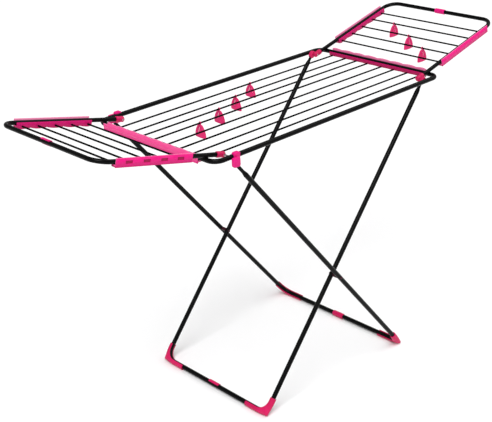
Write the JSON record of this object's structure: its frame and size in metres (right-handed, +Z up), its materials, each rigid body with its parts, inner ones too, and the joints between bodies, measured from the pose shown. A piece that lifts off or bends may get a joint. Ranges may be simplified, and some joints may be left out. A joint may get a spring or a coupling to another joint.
{
  "type": "clothes drying rack",
  "caption": "Folding freestanding clothes airer: a wire rack on crossed tube legs, with two fold-up wire wings, moulded combs and shoes, and hanging sock clips.",
  "frame": {"origin": "on the floor, under the middle of the rack", "axes": "+X along the rack towards the right wing, +Y across it to the far side, +Z up"},
  "size_m": [1.6904, 0.5722, 1.0172],
  "materials": {
    "tube_steel": "black gloss powder coat on steel tube",
    "wire_steel": "black coated wire, satin",
    "pink_plastic": "hot pink moulded plastic, soft gloss",
    "clip_plastic": "hot pink moulded plastic, slightly translucent at its thin edges",
    "comb_plastic": "hot pink moulded plastic, paler where the thin upper wall lets light through",
    "shoe_plastic": "crimson pink moulded plastic, soft gloss",
    "rivet_plastic": "dark moulded plastic",
    "pin_steel": "turned, bright zinc"
  },
  "bodies": {
    "rack": {"rack_frame": "tube_steel", "rack_wire_1": "wire_steel", "rack_wire_2": "wire_steel", "rack_wire_3": "wire_steel", "rack_wire_4": "wire_steel", "rack_wire_5": "wire_steel", "rack_wire_6": "wire_steel", "rack_wire_7": "wire_steel", "rack_wire_8": "wire_steel", "left_end_comb": "comb_plastic", "right_end_comb": "comb_plastic", "right_far_hinge_pin": "pin_steel", "right_near_hinge_pin": "pin_steel", "left_far_hinge_pin": "pin_steel", "left_near_hinge_pin": "pin_steel", "rail_clasp_far": "pink_plastic", "rail_clasp_near": "pink_plastic"},
    "right_wing": {"right_wing_frame": "tube_steel", "right_wing_wire_1": "wire_steel", "right_wing_wire_2": "wire_steel", "right_wing_wire_3": "wire_steel", "right_wing_wire_4": "wire_steel", "right_wing_wire_5": "wire_steel", "right_wing_far_comb": "comb_plastic", "right_wing_near_comb": "comb_plastic", "right_wing_far_cap": "shoe_plastic", "right_wing_near_cap": "shoe_plastic", "right_wing_sleeve": "pink_plastic"},
    "left_wing": {"left_wing_frame": "tube_steel", "left_wing_wire_1": "wire_steel", "left_wing_wire_2": "wire_steel", "left_wing_wire_3": "wire_steel", "left_wing_wire_4": "wire_steel", "left_wing_wire_5": "wire_steel", "left_wing_far_comb": "comb_plastic", "left_wing_near_comb": "comb_plastic", "left_wing_far_cap": "shoe_plastic", "left_wing_near_cap": "shoe_plastic", "left_wing_sleeve": "pink_plastic"},
    "inner_leg": {"inner_leg_frame": "tube_steel", "inner_leg_far_cap": "shoe_plastic", "inner_leg_near_cap": "shoe_plastic", "inner_far_shoe": "shoe_plastic", "inner_near_shoe": "shoe_plastic", "inner_foot_sleeve": "shoe_plastic"},
    "outer_leg": {"outer_leg_frame": "tube_steel", "outer_leg_far_hook": "pink_plastic", "outer_leg_near_hook": "pink_plastic", "outer_far_shoe": "shoe_plastic", "outer_near_shoe": "shoe_plastic", "outer_foot_sleeve": "shoe_plastic", "far_leg_rivet": "rivet_plastic", "near_leg_rivet": "rivet_plastic"},
    "rack_clip_1_body": {"rack_clip_1": "clip_plastic"},
    "rack_clip_2_body": {"rack_clip_2": "clip_plastic"},
    "rack_clip_3_body": {"rack_clip_3": "clip_plastic"},
    "rack_clip_4_body": {"rack_clip_4": "clip_plastic"},
    "wing_clip_1_body": {"wing_clip_1": "clip_plastic"},
    "wing_clip_2_body": {"wing_clip_2": "clip_plastic"},
    "wing_clip_3_body": {"wing_clip_3": "clip_plastic"}
  },
  "joints": [
    {"name": "right_wing_fold", "type": "hinge", "parent": "rack", "child": "right_wing", "pos_m": [0.429, 0, 0.907], "axis": [0, -1, 0], "range_deg": [0, 165.5]},
    {"name": "left_wing_fold", "type": "hinge", "parent": "rack", "child": "left_wing", "pos_m": [-0.429, 0, 0.907], "axis": [0, 1, 0], "range_deg": [0, 165.5]},
    {"name": "leg_fold", "type": "hinge", "parent": "rack", "child": "inner_leg", "pos_m": [0.429, 0, 0.907], "axis": [0, 1, 0], "range_deg": [0, 48.7]},
    {"name": "leg_scissor", "type": "hinge", "parent": "inner_leg", "child": "outer_leg", "pos_m": [-0.0153, 0, 0.37973], "axis": [0, 1, 0], "range_deg": [0, 76]},
    {"name": "rack_clip_1_swing", "type": "hinge", "parent": "rack", "child": "rack_clip_1_body", "pos_m": [0.076, 0.191, 0.8971], "axis": [1, 0, 0], "range_deg": [-45, 45]},
    {"name": "rack_clip_2_swing", "type": "hinge", "parent": "rack", "child": "rack_clip_2_body", "pos_m": [-0.044, 0.13179, 0.8971], "axis": [1, 0, 0], "range_deg": [-45, 45]},
    {"name": "rack_clip_3_swing", "type": "hinge", "parent": "rack", "child": "rack_clip_3_body", "pos_m": [-0.161, 0.08213, 0.8971], "axis": [1, 0, 0], "range_deg": [-45, 45]},
    {"name": "rack_clip_4_swing", "type": "hinge", "parent": "rack", "child": "rack_clip_4_body", "pos_m": [-0.283, 0.03247, 0.8971], "axis": [1, 0, 0], "range_deg": [-45, 45]},
    {"name": "wing_clip_1_swing", "type": "hinge", "parent": "right_wing", "child": "wing_clip_1_body", "pos_m": [0.72187, 0.116, 0.97039], "axis": [0, 1, 0], "range_deg": [-45, 45]},
    {"name": "wing_clip_2_swing", "type": "hinge", "parent": "right_wing", "child": "wing_clip_2_body", "pos_m": [0.66559, 0.005, 0.95635], "axis": [0, 1, 0], "range_deg": [-45, 45]},
    {"name": "wing_clip_3_swing", "type": "hinge", "parent": "right_wing", "child": "wing_clip_3_body", "pos_m": [0.61126, -0.097, 0.94279], "axis": [0, 1, 0], "range_deg": [-45, 45]}
  ],
  "couplings": [
    {"joint": "leg_scissor", "follows": "leg_fold", "ratio": 1.5592}
  ]
}
